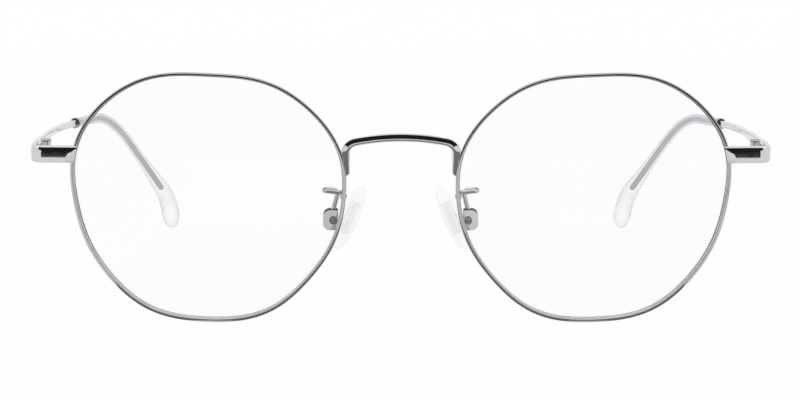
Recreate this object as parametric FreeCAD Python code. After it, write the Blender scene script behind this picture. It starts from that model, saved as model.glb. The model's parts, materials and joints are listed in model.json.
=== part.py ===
"""Round wire eyeglasses standing open on a table, as an assembly of separate pieces.

Millimetres. +Z is up, the front looks along -Y and the temples run back along +Y.
"left" and "right" are the wearer's: the wearer's left is on the +X side.

The left half is drawn twice over in plain frames and then set in place:
  eye frame    origin at the middle of the eye opening, +X to the temple side, +Y to the back
  front frame  origin midway between the two eyes, in the upright front
The eye frame is turned by face_wrap into the front frame. At the end the whole pair is tilted
until its rims and its temple tips stand on Z = 0, and the right half is the mirror of the left.
"""

import FreeCAD
import Part

import math
import os

from FreeCAD import Matrix, Placement, Rotation, Vector

# ---- eye shape and front -------------------------------------------------------------------
lens_width = 50.2  # boxed size of the lens over its bevel
lens_height = 45.9
bridge_width = 21.5  # between the two lenses at their nearest
face_wrap = 3.0  # each eye is turned back by this at its temple side, degrees
dome_radius = 150.0  # of the lens and of the rim that follows it
# Distance of the eye shape from its middle, at even steps from the temple side over the top,
# as shares of the half box. A smooth curve joins them.
eye_radii = (0.984, 1.057, 1.077, 1.053, 0.995, 1.024, 1.036, 1.036,
             0.997, 0.983, 0.987, 1.02, 0.998, 1.008, 0.977, 0.963)

rim_thickness = 0.8  # across the wire, seen from the front
rim_depth = 1.7  # front to back
groove_depth = 0.3
groove_width = 0.8
lens_thickness = 1.6
lens_gap = 0.03  # round the lens's bevel in the groove
rim_slit = 0.15  # where the rim is opened to let the lens in

# ---- end piece and closing block -----------------------------------------------------------
end_piece_rise = 7.9  # middle of the end piece over the middle of the eye
end_piece_height = 3.2
end_piece_reach = 7.76  # from the rim's outer wall to its outer face
end_piece_thickness = 1.1
end_piece_bend = 2.2  # outer radius where it turns back
end_piece_leg = 6.35  # from its front face to the butt face at the temple
end_piece_proud = 0.5  # in front of the rim, whose front it covers
end_piece_edge = 0.25
end_piece_bevel = 0.5  # from the rim's outer wall to the facet's edge, at mid height
end_piece_bevel_turn = 11.0  # how far the facet falls back from the front face
end_piece_bevel_lean = 45.0  # of the facet's edge, whose top end is nearer to the rim
block_width = 2.5
block_depth = 2.2
block_height = 2.4  # both halves together
block_round = 0.7
rim_screw_radius = 0.6
rim_screw_head_radius = 0.95
screw_head_height = 0.36
screw_head_round = 0.12
screw_slot_width = 0.25
screw_slot_depth = 0.18
screw_clearance = 0.03

# ---- hinge ---------------------------------------------------------------------------------
knuckle_radius = 1.0
knuckle_height = 0.92
knuckle_gap = 0.04
leaf_thickness = 0.55
hinge_inset = 1.25  # from the inner face of the end piece to the hinge axis
knuckle_relief = 0.1  # a leaf plate stays this far outside the knuckles
front_leaf_length = 2.5
temple_leaf_length = 6.0
temple_leaf_height = 2.0
hinge_screw_radius = 0.5
hinge_screw_head_radius = 0.95
hinge_screw_end = 0.15  # past the lowest knuckle
butt_gap = 0.05  # between end piece and temple when open

# ---- temple --------------------------------------------------------------------------------
temple_length = 140.5  # along the wire, from the hinge to the end of the tip
pantoscopic_angle = 6.4  # temple below the square to the front
temple_spread = 0.0  # of the open temple away from straight back
temple_butt_height = 3.0
temple_shoulder_height = 1.8
temple_shoulder_start = 5.0
temple_shoulder_gap = 3.0  # from the end of the shoulder to where the wire begins to lean in
temple_step = 0.8
wire_height = 1.35
wire_thickness = 1.05
wire_round = 0.35
inturn_angle = 14.7  # of the long bend towards the head
inturn_radius = 195.0
ear_run = 1.0  # straight, from the long bend to the ear bend
ear_bend_radius = 26.0
tip_drop_angle = 39.0  # of the tip below the temple
tip_inward_angle = 29.0  # of the tip towards the head, seen from above
tip_run = 14.7  # straight, from the ear bend to the end bend
end_bend_radius = 26.0
end_drop_angle = 38.0
end_inward_angle = 7.5
end_run = 7.0  # straight, to the end of the tip

# ---- temple tip and its collar -------------------------------------------------------------
tip_length = 63.0
tip_mouth_height = 1.8
tip_mouth_thickness = 1.75
tip_bend_height = 2.0
tip_bend_thickness = 1.9
paddle_height = 5.0
paddle_thickness = 3.5
paddle_end = 3.8  # from its widest place to its end
section_spacing = 2.5  # between the drawn sections of the tip
end_section_turn = 12  # degrees between those of its rounded end
core_clearance = 0.04
core_margin = 13.0  # from the end of the metal core to the end of the tip
collar_length = 1.4
collar_wall = 0.18

# ---- bridge --------------------------------------------------------------------------------
bridge_bar_height = 1.3
bridge_bar_depth = 1.7
bridge_bar_round = 0.5
bridge_rise = 11.55  # middle of the bar at its top over the middle of the eye
bridge_arch_radius = 40.0
bridge_corner_radius = 2.4
bridge_foot_rise = 4.2  # lower end of its feet over the middle of the eye
bridge_foot_inset = 0.0  # of the foot's middle line from the rim's outer wall
bridge_projection = 0.9  # the arch stands this far in front of its feet

# ---- nose pads -----------------------------------------------------------------------------
arm_wire_radius = 0.42
arm_root_rise = 0.3
arm_embed = 0.3
arm_bend_radius = 0.8
arm_reach_back = 3.3  # from the back of the rim to the first bend
arm_root_lean = 0.2  # sideways to the first bend
arm_loop_out = 3.55  # sideways to the outside of the loop
arm_loop_back = 1.1  # and further back
arm_loop_rise = 0.15
arm_leg_inset = 0.95  # top of the leg that goes down, from the pad screw
pad_screw_inset = 2.3  # pad screw outside the rim's nasal wall
pad_screw_drop = 5.2  # pad screw below the middle of the eye
pad_screw_back = 6.7  # pad screw behind the rim
box_nasal = 0.9
box_temporal = 1.9
box_height = 3.8
box_depth = 2.5
box_wall = 0.45
box_round = 1.3
box_edge = 0.35
box_pad_gap = 0.5  # between the pad's back and the box, which leaves room to rock
pad_screw_radius = 0.4
pad_screw_head_radius = 0.75
pad_screw_head_height = 0.35
tongue_thickness = 1.5
tongue_height = 1.7
pad_inset = 3.0  # pad middle from the pad screw
pad_lift = 0.3
pad_length = 12.8
pad_width = 7.0
pad_thickness = 1.6
pad_edge = 0.65
pad_frontal_angle = 26.0
pad_splay_angle = 22.0
insert_length = 6.4
insert_width = 3.2
insert_thickness = 0.8
insert_clearance = 0.02

# ---- worked out ----------------------------------------------------------------------------
eye_distance = lens_width + bridge_width  # between the middles of the two eyes
rim_outside = rim_thickness - groove_depth  # of the rim's outer wall beyond the lens box
outline_count = 48  # points that the eye's curve is drawn through
oval_count = 16
far = 400.0
up = Vector(0, 0, 1)
back = Vector(0, 1, 0)
outward = Vector(1, 0, 0)
middle = Vector(0, 0, 0)


def eye_ratio(angle):
    """The smooth periodic curve through eye_radii."""
    count = len(eye_radii)
    total = 0.0
    for step, ratio in enumerate(eye_radii):
        apart = angle - 2 * math.pi * step / count
        if abs(math.sin(apart / 2)) < 1e-9:
            return ratio
        total += ratio * math.sin(count * apart / 2) / (count * math.tan(apart / 2))
    return total


def raw_eye_point(angle):
    ratio = eye_ratio(angle)
    return ratio * math.cos(angle), ratio * math.sin(angle)


def raw_eye_box():
    points = [raw_eye_point(math.radians(degree)) for degree in range(360)]
    across = [p[0] for p in points]
    upward = [p[1] for p in points]
    return min(across), max(across), min(upward), max(upward)


raw_left, raw_right, raw_low, raw_high = raw_eye_box()


def boxed_eye_point(angle):
    """A point of the eye shape, stretched so that it fills the lens box."""
    u, v = raw_eye_point(angle)
    across = (u - (raw_left + raw_right) / 2) / (raw_right - raw_left) * lens_width
    upward = (v - (raw_low + raw_high) / 2) / (raw_high - raw_low) * lens_height
    return across, upward


def eye_point(angle, offset):
    """A point at that distance outside the eye shape."""
    small = 1e-4
    before = boxed_eye_point(angle - small)
    after = boxed_eye_point(angle + small)
    along = (after[0] - before[0], after[1] - before[1])
    length = math.hypot(*along)
    u, v = boxed_eye_point(angle)
    return u + offset * along[1] / length, v - offset * along[0] / length


def wall_at(offset, rise, side):
    """How far from the middle that outline lies at a height, on the temple (+1) or nose (-1) side."""
    low, high = (-math.pi / 2, math.pi / 2) if side > 0 else (3 * math.pi / 2, math.pi / 2)
    for _ in range(50):
        half = (low + high) / 2
        if eye_point(half, offset)[1] < rise:
            low = half
        else:
            high = half
    return eye_point(low, offset)[0]


def dome_sag(u, v):
    """How far behind its middle the dome lies at a point of the eye."""
    return dome_radius - math.sqrt(dome_radius**2 - u**2 - v**2)


def dome_point(u, v, depth):
    """The point that far behind the dome, on the line to the dome's centre."""
    centre = Vector(0, dome_radius, 0)
    return centre + (Vector(u, dome_sag(u, v), v) - centre) * (1 - depth / dome_radius)


def eye_ring(offset, level):
    """The eye shape in the plane at that depth, as seen from the dome's centre."""
    points = []
    for k in range(outline_count):
        u, v = eye_point(2 * math.pi * k / outline_count, offset)
        share = (dome_radius - level) / (dome_radius - dome_sag(u, v))
        points.append(Vector(u * share, level, v * share))
    curve = Part.BSplineCurve()
    curve.interpolate(Points=points, PeriodicFlag=True)
    return Part.Wire(curve.toShape())


def eye_block(offset):
    """The eye shape as a block whose walls run square to the dome."""
    rings = [eye_ring(offset, -lens_width / 4), eye_ring(offset, lens_width / 4)]
    return Part.makeLoft(rings, True, True)


def dome_layer(thickness):
    """The layer of that thickness on the lens dome."""
    centre = Vector(0, dome_radius, 0)
    outer = Part.makeSphere(dome_radius + thickness / 2, centre)
    inner = Part.makeSphere(dome_radius - thickness / 2, centre)
    return outer.cut(inner)


def box(low, high):
    return Part.makeBox(high[0] - low[0], high[1] - low[1], high[2] - low[2], Vector(*low))


def cylinder(radius, start, direction, length):
    return Part.makeCylinder(radius, length, start, direction)


def only_solid(shape):
    """The one solid of a result, so that each piece is written as a plain solid."""
    solids = shape.Solids
    if len(solids) != 1:
        raise ValueError(f"expected one solid, found {len(solids)}")
    return solids[0]


def edges_along(shape, direction):
    """Straight edges that run in that direction."""
    found = []
    for edge in shape.Edges:
        if isinstance(edge.Curve, Part.Line) and abs(edge.Curve.Direction.dot(direction)) > 0.999:
            found.append(edge)
    return found


def rounded_rectangle(centre, wide, wide_size, tall, tall_size, radius):
    """A closed wire round centre, with its sides along the directions wide and tall."""
    a, b = wide_size / 2, tall_size / 2
    diagonal = radius * (1 - math.sqrt(0.5))

    def at(x, y):
        return centre + wide * x + tall * y

    edges = []
    corners = ((1, 1), (-1, 1), (-1, -1), (1, -1))
    for index, (sx, sy) in enumerate(corners):
        along_x = at(sx * (a - radius), sy * b)
        along_y = at(sx * a, sy * (b - radius))
        bulge = at(sx * (a - diagonal), sy * (b - diagonal))
        first, last = (along_y, along_x) if sx * sy > 0 else (along_x, along_y)
        edges.append(Part.Arc(first, bulge, last).toShape())
        nx, ny = corners[(index + 1) % 4]
        follows = at(nx * (a - radius), ny * b) if nx * ny < 0 else at(nx * a, ny * (b - radius))
        edges.append(Part.LineSegment(last, follows).toShape())
    return Part.Wire(edges)


def oval(centre, half_wide, half_tall):
    """A smooth closed wire about centre that reaches the two half axes."""
    points = []
    for k in range(oval_count):
        angle = 2 * math.pi * k / oval_count
        points.append(centre + half_wide * math.cos(angle) + half_tall * math.sin(angle))
    curve = Part.BSplineCurve()
    curve.interpolate(Points=points, PeriodicFlag=True)
    return Part.Wire(curve.toShape())


def rounded_path(points, radii):
    """Straight runs through the points, joined by tangent arcs at the inner ones."""
    edges = []
    reached = points[0]
    for before, corner, after, radius in zip(points, points[1:], points[2:], radii):
        incoming = (corner - before).normalize()
        outgoing = (after - corner).normalize()
        turn = incoming.getAngle(outgoing)
        cut = radius * math.tan(turn / 2)
        first = corner - incoming * cut
        last = corner + outgoing * cut
        inner = (outgoing - incoming).normalize()
        bulge = corner + inner * (radius / math.cos(turn / 2) - radius)
        edges.append(Part.LineSegment(reached, first).toShape())
        edges.append(Part.Arc(first, bulge, last).toShape())
        reached = last
    edges.append(Part.LineSegment(reached, points[-1]).toShape())
    return Part.Wire(edges)


def along_path(path, distance):
    """The point of a path at that distance, with its direction."""
    for edge in path.Edges:
        if distance <= edge.Length or edge.isSame(path.Edges[-1]):
            parameter = edge.getParameterByLength(min(distance, edge.Length))
            return edge.valueAt(parameter), edge.tangentAt(parameter)
        distance -= edge.Length


def cross_axes(direction):
    """The sideways and upward directions square to a path."""
    side = direction.cross(up).normalize()
    return side, side.cross(direction).normalize()


def sweep(path, section):
    return Part.Solid(path.makePipeShell([section], True, False))


def turned(shape, angle, axis, about=middle):
    moved = shape.copy()
    moved.rotate(about, axis, angle)
    return moved


# ---- from the eye frame to the front frame ----
eye_placement = Placement(Vector(eye_distance / 2, 0, 0), Rotation(up, face_wrap))


def to_front(shape):
    return shape.transformed(eye_placement.toMatrix(), copy=True)


# ---- places in the eye frame that several pieces share ----
rim_wall = wall_at(rim_outside, end_piece_rise, 1)
end_front = dome_sag(rim_wall, end_piece_rise) - rim_depth / 2 - end_piece_proud
end_back = end_front + end_piece_thickness
butt_plane = end_front + end_piece_leg
end_outer = rim_wall + end_piece_reach
end_inner = end_outer - end_piece_thickness
hinge_point = Vector(end_inner - hinge_inset, butt_plane, end_piece_rise)
hinge_height = 3 * knuckle_height + 2 * knuckle_gap
rim_screw_point = Vector(rim_wall + block_width / 2, end_back + block_depth / 2, end_piece_rise)
wire_middle = hinge_inset + wire_thickness / 2  # of the temple wire outside the hinge axis


# ---- front: rim, lens, end piece, closing block ----
def make_rim():
    ring = eye_block(rim_outside).cut(eye_block(-groove_depth))
    rim = ring.common(dome_layer(rim_depth))
    groove = eye_block(lens_gap).common(dome_layer(groove_width + 2 * lens_gap))
    rim = rim.cut(groove)
    slit_low = (0, -lens_width / 4, end_piece_rise - rim_slit / 2)
    slit_high = (lens_width, lens_width / 4, end_piece_rise + rim_slit / 2)
    return only_solid(rim.cut(box(slit_low, slit_high)))


def make_lens():
    body = eye_block(-groove_depth - lens_gap).common(dome_layer(lens_thickness))
    bevel = eye_block(0).common(dome_layer(groove_width))
    return only_solid(body.fuse(bevel).removeSplitter())


def make_end_piece(rim_block):
    low = end_piece_rise - end_piece_height / 2
    inner_bend = end_piece_bend - end_piece_thickness
    slant = math.sqrt(0.5)
    start = rim_wall - 2 * rim_thickness

    def at(x, y):
        return Vector(x, y, low)

    bend_centre = at(end_outer - end_piece_bend, end_front + end_piece_bend)
    outer_bulge = bend_centre + Vector(slant, -slant, 0) * end_piece_bend
    inner_bulge = bend_centre + Vector(slant, -slant, 0) * inner_bend
    outline = [
        Part.LineSegment(at(start, end_front), at(bend_centre.x, end_front)),
        Part.Arc(at(bend_centre.x, end_front), outer_bulge, at(end_outer, bend_centre.y)),
        Part.LineSegment(at(end_outer, bend_centre.y), at(end_outer, butt_plane)),
        Part.LineSegment(at(end_outer, butt_plane), at(end_inner, butt_plane)),
        Part.LineSegment(at(end_inner, butt_plane), at(end_inner, bend_centre.y)),
        Part.Arc(at(end_inner, bend_centre.y), inner_bulge, at(bend_centre.x, end_back)),
        Part.LineSegment(at(bend_centre.x, end_back), at(start, end_back)),
        Part.LineSegment(at(start, end_back), at(start, end_front)),
    ]
    strip = Part.Face(Part.Wire([line.toShape() for line in outline]))
    strip = strip.extrude(up * end_piece_height)
    shown = []
    for edge in strip.Edges:
        point = edge.valueAt((edge.FirstParameter + edge.LastParameter) / 2)
        level = abs(abs(point.z - end_piece_rise) - end_piece_height / 2) < 1e-6
        on_front = abs(point.y - end_front) < 1e-6
        on_side = abs(point.x - end_outer) < 1e-6
        on_bend = abs((point - Vector(bend_centre.x, bend_centre.y, point.z)).Length - end_piece_bend) < 1e-6
        if level and (on_front or on_side or on_bend):
            shown.append(edge)
    strip = strip.makeFillet(end_piece_edge, shown)
    lean = math.radians(end_piece_bevel_lean)
    cutter = box((-far, -far, -far), (far, 0, far))
    cutter = turned(cutter, end_piece_bevel_turn, Vector(math.sin(lean), 0, -math.cos(lean)))
    cutter.translate(Vector(rim_wall + end_piece_bevel, end_front, end_piece_rise))
    # It covers the rim's front up to the lens, and stays outside the rim behind that.
    rim_layer = rim_block.common(dome_layer(rim_depth))
    return only_solid(strip.cut(cutter).cut(rim_layer).cut(eye_block(-groove_depth)))


def make_closing_blocks(rim_block):
    """The upper and the lower half, drilled for the rim screw."""
    halves = []
    for side in (1, -1):
        # The lower half isn't soldered to the end piece, so it stands clear of it.
        front = end_back if side > 0 else end_back + rim_slit / 2
        ends = sorted((end_piece_rise + side * rim_slit / 2, end_piece_rise + side * block_height / 2))
        low = (rim_wall - block_width / 2, front, ends[0])
        high = (rim_wall + block_width, end_back + block_depth, ends[1])
        half = box(low, high)
        outer = [e for e in edges_along(half, up) if e.Vertexes[0].X > rim_wall]
        half = half.makeFillet(block_round, outer)
        bore_start = rim_screw_point - up * block_height
        bore = cylinder(rim_screw_radius + screw_clearance, bore_start, up, 2 * block_height)
        halves.append(only_solid(half.cut(bore).cut(rim_block)))
    return halves


def slotted_screw(radius, head_radius, head_height, seat, direction, length, slot_direction):
    """A shaft from seat down its direction, with a slotted head on the other side."""
    shaft = cylinder(radius, seat, direction, length)
    head = cylinder(head_radius, seat - direction * head_height, direction, head_height)
    head_edges = [e for e in head.Edges if abs((e.CenterOfMass - seat).Length - head_height) < 1e-6]
    head = head.makeFillet(screw_head_round, [e for e in head_edges if isinstance(e.Curve, Part.Circle)])
    cross = direction.cross(slot_direction)
    corner = seat - direction * (head_height + screw_slot_depth)
    corner = corner - slot_direction * 2 * head_radius - cross * screw_slot_width / 2
    slot = Part.makeBox(4 * head_radius, screw_slot_width, 2 * screw_slot_depth)
    turn = Matrix(
        slot_direction.x, cross.x, direction.x, corner.x,
        slot_direction.y, cross.y, direction.y, corner.y,
        slot_direction.z, cross.z, direction.z, corner.z,
    )
    if turn.determinant() < 0:
        raise ValueError("the slot's axes are left-handed")
    return only_solid(shaft.fuse(head).removeSplitter().cut(slot.transformed(turn, copy=True)))


def make_rim_screw():
    """Its head is underneath, and it is threaded into the upper half."""
    seat = rim_screw_point - up * block_height / 2
    return slotted_screw(
        rim_screw_radius, rim_screw_head_radius, screw_head_height, seat, up, block_height, -outward
    )


# ---- hinge, about the vertical axis through hinge_point ----
def knuckle(level, side):
    """A knuckle at level -1, 0 or 1 with its neck to the front (-1) or to the temple (+1)."""
    low = hinge_point.z + level * (knuckle_height + knuckle_gap) - knuckle_height / 2
    start = Vector(hinge_point.x, hinge_point.y, low)
    reach = sorted((hinge_point.y, hinge_point.y + side * (knuckle_radius + 3 * knuckle_relief)))
    neck = box((hinge_point.x, reach[0], low), (end_inner, reach[1], low + knuckle_height))
    return cylinder(knuckle_radius, start, up, knuckle_height).fuse(neck)


def hinge_bore():
    start = hinge_point - up * hinge_height
    return cylinder(hinge_screw_radius + screw_clearance, start, up, 2 * hinge_height)


def make_front_leaf():
    last = butt_plane - knuckle_radius - knuckle_relief
    low = (end_inner - leaf_thickness, last - front_leaf_length, hinge_point.z - hinge_height / 2)
    high = (end_inner, last, hinge_point.z + hinge_height / 2)
    leaf = box(low, high).fuse([knuckle(1, -1), knuckle(-1, -1)])
    return only_solid(leaf.removeSplitter().cut(hinge_bore()))


def make_temple_leaf():
    first = knuckle_radius + knuckle_relief
    half = temple_leaf_height / 2
    low = (hinge_inset - leaf_thickness, first, -half)
    high = (hinge_inset, first + temple_leaf_length, half)
    leaf = knuckle(0, 1).fuse(set_temple(box(low, high)))
    return only_solid(leaf.removeSplitter().cut(hinge_bore()))


def make_hinge_screw():
    seat = hinge_point + up * hinge_height / 2
    length = hinge_height + hinge_screw_end
    return slotted_screw(
        hinge_screw_radius, hinge_screw_head_radius, screw_head_height, seat, -up, length, outward
    )


# ---- temple, drawn level with its hinge at the origin and then set at the pantoscopic angle ----
def run_direction(drop_angle, inward_angle):
    drop, inward = math.radians(drop_angle), math.radians(inward_angle)
    return Vector(
        -math.cos(drop) * math.sin(inward), math.cos(drop) * math.cos(inward), -math.sin(drop)
    )


def temple_runs():
    """The wire's directions with the straight runs between its bends, the first one left open."""
    directions = [
        run_direction(0, 0),
        run_direction(0, inturn_angle),
        run_direction(tip_drop_angle, tip_inward_angle),
        run_direction(end_drop_angle, end_inward_angle),
    ]
    radii = [inturn_radius, ear_bend_radius, end_bend_radius]
    turns = [a.getAngle(b) for a, b in zip(directions, directions[1:])]
    arcs = sum(radius * turn for radius, turn in zip(radii, turns))
    first = temple_length - ear_run - tip_run - end_run - arcs
    return directions, [first, ear_run, tip_run, end_run], radii, turns


def temple_path():
    """The middle of the wire: back, in towards the head, down behind the ear, and down again."""
    directions, runs, radii, turns = temple_runs()
    tangents = [0.0] + [radius * math.tan(turn / 2) for radius, turn in zip(radii, turns)] + [0.0]
    points = [Vector(wire_middle, 0, 0)]
    for direction, run, before, after in zip(directions, runs, tangents, tangents[1:]):
        points.append(points[-1] + direction * (before + run + after))
    return rounded_path(points, radii)


def cut_path(path, first, last):
    """The stretch of a path between two distances along it."""
    edges = []
    passed = 0.0
    for edge in path.Edges:
        low, high = max(first - passed, 0.0), min(last - passed, edge.Length)
        if high - low > 1e-6:
            start, end = edge.getParameterByLength(low), edge.getParameterByLength(high)
            edges.append(edge.Curve.toShape(start, end))
        passed += edge.Length
    return Part.Wire(edges)


def wire_solid(first, last, margin):
    """The temple's wire between two distances along its path, swollen by a margin."""
    path = cut_path(temple_path(), first, last)
    start, direction = along_path(path, 0.0)
    side, lift = cross_axes(direction)
    section = rounded_rectangle(
        start, side, wire_thickness + 2 * margin, lift, wire_height + 2 * margin, wire_round + margin
    )
    return sweep(path, section)


def set_temple(shape):
    """From the level temple's own frame to the eye frame."""
    placed = turned(shape, -pantoscopic_angle, outward)
    placed = turned(placed, -face_wrap - temple_spread, up)
    placed.translate(hinge_point)
    return placed


front_run = temple_runs()[1][0]
tip_start = temple_length - tip_length
shoulder_end = front_run - temple_shoulder_gap


def make_temple():
    butt, shoulder, wire = temple_butt_height / 2, temple_shoulder_height / 2, wire_height / 2
    top = [
        (-butt, butt),
        (temple_shoulder_start, butt),
        (shoulder_end, shoulder),
        (shoulder_end + temple_step, wire),
    ]
    corners = top + [(y, -z) for y, z in reversed(top)]
    points = [Vector(hinge_inset, y, z) for y, z in corners]
    blade = Part.Face(Part.makePolygon(points + points[:1])).extrude(outward * wire_thickness)
    temple = set_temple(blade.fuse(wire_solid(shoulder_end, temple_length - core_margin, 0.0)))
    clear = box((-far, -far, -far), (far, butt_plane + butt_gap, far))
    return only_solid(temple.cut(clear))


def tip_size(distance):
    """Height and thickness of the tip at a distance along the path."""
    bend = temple_length - end_run - end_bend_radius * temple_runs()[3][2] - tip_run
    widest = temple_length - paddle_end
    mouth = (tip_mouth_height, tip_mouth_thickness)
    slim = (tip_bend_height, tip_bend_thickness)
    wide = (paddle_height, paddle_thickness)
    if distance < bend:
        share = (distance - tip_start) / (bend - tip_start)
        return [a + (b - a) * share for a, b in zip(mouth, slim)]
    share = min(1.0, (distance - bend) / (widest - bend))
    swell = share**3 * (4 - 3 * share)
    rest = max(0.0, (distance - widest) / paddle_end)
    closing = math.sqrt(1 - rest**2)
    return [(a + (b - a) * swell) * closing for a, b in zip(slim, wide)]


def tip_sections():
    """Distance along the path, height and thickness of each section of the tip."""
    widest = temple_length - paddle_end
    count = round((widest - tip_start) / section_spacing)
    places = [tip_start + (widest - tip_start) * k / count for k in range(count)]
    for angle in range(0, 90, end_section_turn):
        places.append(widest + paddle_end * math.sin(math.radians(angle)))
    return [(place, *tip_size(place)) for place in places]


def tip_section(path, distance, height, thickness):
    centre, direction = along_path(path, distance)
    side, lift = cross_axes(direction)
    return oval(centre, side * thickness / 2, lift * height / 2)


def make_tip():
    path = temple_path()
    wires = [tip_section(path, *section) for section in tip_sections()]
    tip = Part.makeLoft(wires, True, False)
    bore_end = temple_length - core_margin + core_clearance
    bore = wire_solid(tip_start - collar_length, bore_end, core_clearance)
    return only_solid(set_temple(tip.cut(bore)))


def make_collar():
    path = cut_path(temple_path(), tip_start - collar_length, tip_start)
    start, direction = along_path(path, 0.0)
    side, lift = cross_axes(direction)
    half_thickness = tip_mouth_thickness / 2 + collar_wall
    half_height = tip_mouth_height / 2 + collar_wall
    ring = sweep(path, oval(start, side * half_thickness, lift * half_height))
    bore = wire_solid(tip_start - 2 * collar_length, tip_start + collar_length, core_clearance)
    return only_solid(set_temple(ring.cut(bore)))


# ---- bridge, in the front frame ----
def make_bridge(rim_blocks):
    foot_rise = (bridge_foot_rise + bridge_rise) / 2
    wall = to_front_point(wall_at(rim_outside, bridge_foot_rise, -1), bridge_foot_rise)
    foot_x = wall.x - bridge_foot_inset
    arch_centre = bridge_rise - bridge_arch_radius
    # The corner arc touches the foot's line and the arch from inside.
    corner_x = foot_x - bridge_corner_radius
    inner = bridge_arch_radius - bridge_corner_radius
    corner_z = arch_centre + math.sqrt(inner**2 - corner_x**2)
    lean = math.atan2(corner_x, corner_z - arch_centre)
    touch = Vector(
        bridge_arch_radius * math.sin(lean), 0, arch_centre + bridge_arch_radius * math.cos(lean)
    )
    half_way = (math.pi / 2 + lean) / 2
    bulge = Vector(
        corner_x + bridge_corner_radius * math.sin(half_way),
        0,
        corner_z + bridge_corner_radius * math.cos(half_way),
    )
    foot_low = Vector(foot_x, 0, bridge_foot_rise)
    foot_top = Vector(foot_x, 0, corner_z)

    def across(point):
        return Vector(-point.x, point.y, point.z)

    path = Part.Wire([
        Part.LineSegment(foot_low, foot_top).toShape(),
        Part.Arc(foot_top, bulge, touch).toShape(),
        Part.Arc(touch, Vector(0, 0, bridge_rise), across(touch)).toShape(),
        Part.Arc(across(touch), across(bulge), across(foot_top)).toShape(),
        Part.LineSegment(across(foot_top), across(foot_low)).toShape(),
    ])
    section = rounded_rectangle(
        foot_low, outward, bridge_bar_height, back, bridge_bar_depth, bridge_bar_round
    )
    bar = sweep(path, section)
    bar.translate(back * wall.y)
    tilt = math.degrees(math.asin(bridge_projection / (bridge_rise - foot_rise)))
    bar = turned(bar, tilt, outward, Vector(0, wall.y, foot_rise))
    for block in rim_blocks:
        bar = bar.cut(block)
    return only_solid(bar)


def to_front_point(u, v):
    """The point of the dome over a place of the eye, in the front frame."""
    return eye_placement.multVec(Vector(u, dome_sag(u, v), v))


# ---- nose pad and what carries it, in the front frame ----
def pad_screw_point():
    wall = to_front_point(wall_at(rim_outside, 0.0, -1), 0.0)
    return Vector(wall.x + pad_screw_inset, wall.y + pad_screw_back, -pad_screw_drop)


def make_pad_arm():
    u = wall_at(rim_outside - rim_thickness / 2, arm_root_rise, -1)
    root = to_front_point(u, arm_root_rise) + back * (rim_depth / 2 - arm_embed)
    screw = pad_screw_point()
    first = root + Vector(arm_root_lean, arm_embed + arm_reach_back, 0)
    out = Vector(root.x + arm_loop_out, first.y + arm_loop_back, root.z + arm_loop_rise)
    points = [
        root,
        first,
        out,
        Vector(out.x, screw.y, out.z),
        Vector(screw.x - arm_leg_inset, screw.y, root.z),
        Vector(screw.x, screw.y, screw.z + box_height / 2 - box_wall / 2),
    ]
    path = rounded_path(points, [arm_bend_radius] * 4)
    start, direction = along_path(path, 0.0)
    section = Part.Wire(Part.Circle(start, direction, arm_wire_radius).toShape())
    return sweep(path, section)


def make_pad_box():
    screw = pad_screw_point()
    low = (screw.x - box_nasal, screw.y - box_depth / 2, screw.z - box_height / 2)
    high = (screw.x + box_temporal, screw.y + box_depth / 2, screw.z + box_height / 2)
    shell = box(low, high)
    long_edges = edges_along(shell, back)
    shell = shell.makeFillet(box_round, [e for e in long_edges if e.Vertexes[0].X > screw.x])
    long_edges = edges_along(shell, back)
    shell = shell.makeFillet(box_edge, [e for e in long_edges if e.Vertexes[0].X < screw.x])
    half_slot = tongue_thickness / 2 + screw_clearance
    slot_low = (low[0] - box_wall, screw.y - half_slot, low[2] - box_wall)
    slot_high = (high[0] - box_wall, screw.y + half_slot, high[2] - box_wall)
    bore_start = screw - back * box_depth
    bore = cylinder(pad_screw_radius + screw_clearance / 2, bore_start, back, 2 * box_depth)
    beside_pad = set_pad(box((-far, -far, -far), (pad_thickness / 2 + box_pad_gap, far, far)))
    return only_solid(shell.cut(box(slot_low, slot_high)).cut(bore).cut(beside_pad))


def make_pad_screw():
    seat = pad_screw_point() - back * box_depth / 2
    return slotted_screw(
        pad_screw_radius, pad_screw_head_radius, pad_screw_head_height, seat, back, box_depth, -outward
    )


def set_pad(shape):
    """From the pad's own frame, with its bearing face to -X, to the front frame."""
    placed = turned(shape, -pad_frontal_angle, back)
    placed = turned(placed, -pad_splay_angle, up)
    placed.translate(pad_screw_point() + Vector(-pad_inset, 0, pad_lift))
    return placed


def insert_plate(margin):
    half = Vector(insert_thickness, insert_width, insert_length) / 2 + Vector(margin, margin, margin)
    return set_pad(box((-half.x, -half.y, -half.z), (half.x, half.y, half.z)))


def insert_tongue(margin):
    screw = pad_screw_point()
    half_y, half_z = tongue_thickness / 2 + margin, tongue_height / 2 + margin
    low = (screw.x - pad_inset, screw.y - half_y, screw.z - half_z)
    high = (screw.x, screw.y + half_y, screw.z + half_z)
    end = cylinder(half_z, screw - back * half_y, back, 2 * half_y)
    return box(low, high).fuse(end)


def make_pad_insert():
    insert = insert_plate(0.0).fuse(insert_tongue(0.0)).removeSplitter()
    start = pad_screw_point() - back * tongue_thickness
    bore = cylinder(pad_screw_radius + screw_clearance, start, back, 2 * tongue_thickness)
    return only_solid(insert.cut(bore))


def make_nose_pad():
    face = Part.Face(oval(middle, back * pad_width / 2, up * pad_length / 2))
    pad = face.extrude(outward * pad_thickness)
    pad.translate(-outward * pad_thickness / 2)
    pad = pad.makeFillet(pad_edge, [e for e in pad.Edges if e.isClosed()])
    pocket = insert_plate(insert_clearance).fuse(insert_tongue(insert_clearance))
    return only_solid(set_pad(pad).cut(pocket))


# ---- the whole pair ----
def mirrored(shape):
    return shape.mirror(middle, outward)


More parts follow.
